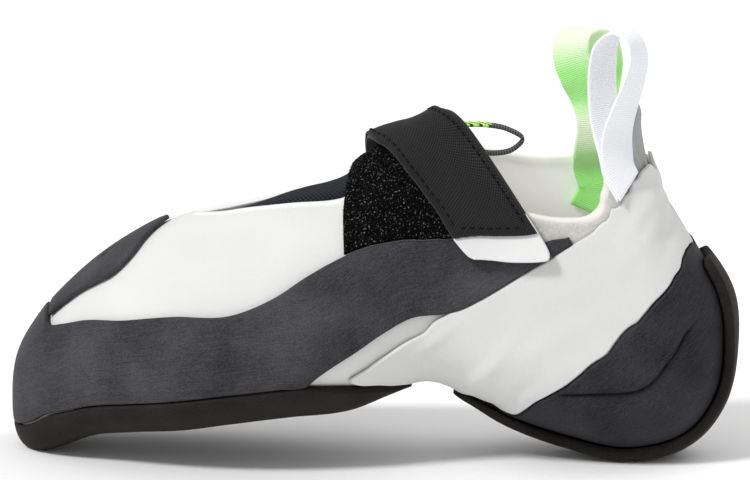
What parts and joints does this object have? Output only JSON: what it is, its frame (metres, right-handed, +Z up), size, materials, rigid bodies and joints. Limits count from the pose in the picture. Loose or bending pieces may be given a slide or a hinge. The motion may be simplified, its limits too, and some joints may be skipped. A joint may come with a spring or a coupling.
{
  "type": "climbing shoe",
  "caption": "Left climbing shoe with a downturned toe, rubber sole, rand and heel cup, a mesh tongue, a wrap strap and heel pull loops.",
  "frame": {"origin": "middle of the flat spot under the heel, on the floor", "axes": "+X from the toe to the heel, -Y to the outer side of the foot, +Z up"},
  "size_m": [0.2617, 0.0893, 0.1575],
  "materials": {
    "white_microfibre": "matte, finely grained",
    "dark_rubber": "matte, finely brushed",
    "sole_rubber": "matte",
    "black_mesh": "knitted mesh",
    "loop_fastener": "fuzzy loop side of a hook and loop fastener",
    "strap_white": "matte",
    "strap_black": "embossed weave",
    "insole_board": "felt lined board",
    "webbing_white": "woven webbing",
    "webbing_green": "woven webbing",
    "webbing_grey": "ribbed webbing"
  },
  "bodies": {
    "root": {"upper": "white_microfibre", "outsole": "sole_rubber", "rand": "dark_rubber", "toe_patch": "dark_rubber", "heel_cup": "dark_rubber", "heel_strip": "sole_rubber", "tension_band": "white_microfibre", "tongue": "black_mesh", "insole": "insole_board", "closure_patch": "loop_fastener", "strap": "strap_white", "strap_cover": "strap_black", "heel_loop_outer": "webbing_white", "heel_loop_inner": "webbing_green", "tongue_loop": "webbing_grey"}
  },
  "joints": []
}
